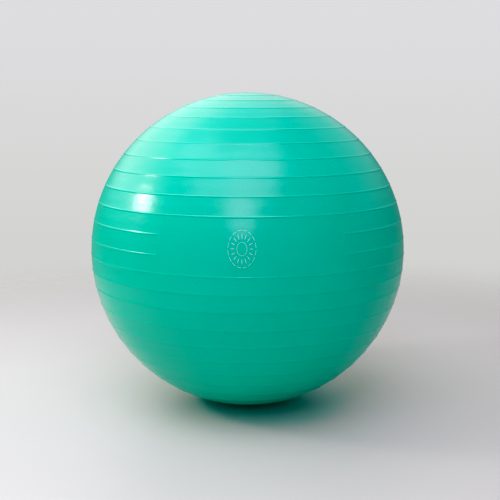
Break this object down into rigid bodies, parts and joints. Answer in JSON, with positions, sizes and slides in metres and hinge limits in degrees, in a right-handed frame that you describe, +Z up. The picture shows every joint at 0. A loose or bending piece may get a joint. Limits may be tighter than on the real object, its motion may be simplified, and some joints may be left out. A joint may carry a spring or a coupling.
{
  "type": "exercise ball",
  "caption": "Inflatable ribbed exercise ball with a plain print panel at the front and a push-in air valve at the back.",
  "frame": {"origin": "on the floor, under the ball's centre, in the middle of the flat patch that the ball's weight presses down", "axes": "+Z up along the axis of the ribs, -Y towards the front print panel, +Y towards the valve"},
  "size_m": [0.652, 0.652, 0.6473],
  "materials": {
    "skin_pvc": "gloss",
    "seat_pvc": "satin",
    "plug_plastic": "satin"
  },
  "bodies": {
    "ball": {"ball_skin": "skin_pvc", "valve_seat": "seat_pvc"},
    "plug": {"valve_plug": "plug_plastic"}
  },
  "joints": [
    {"name": "plug_slide", "type": "slide", "parent": "ball", "child": "plug", "axis": [0, 0.9876, 0.157], "range_m": [0, 0.02]}
  ]
}
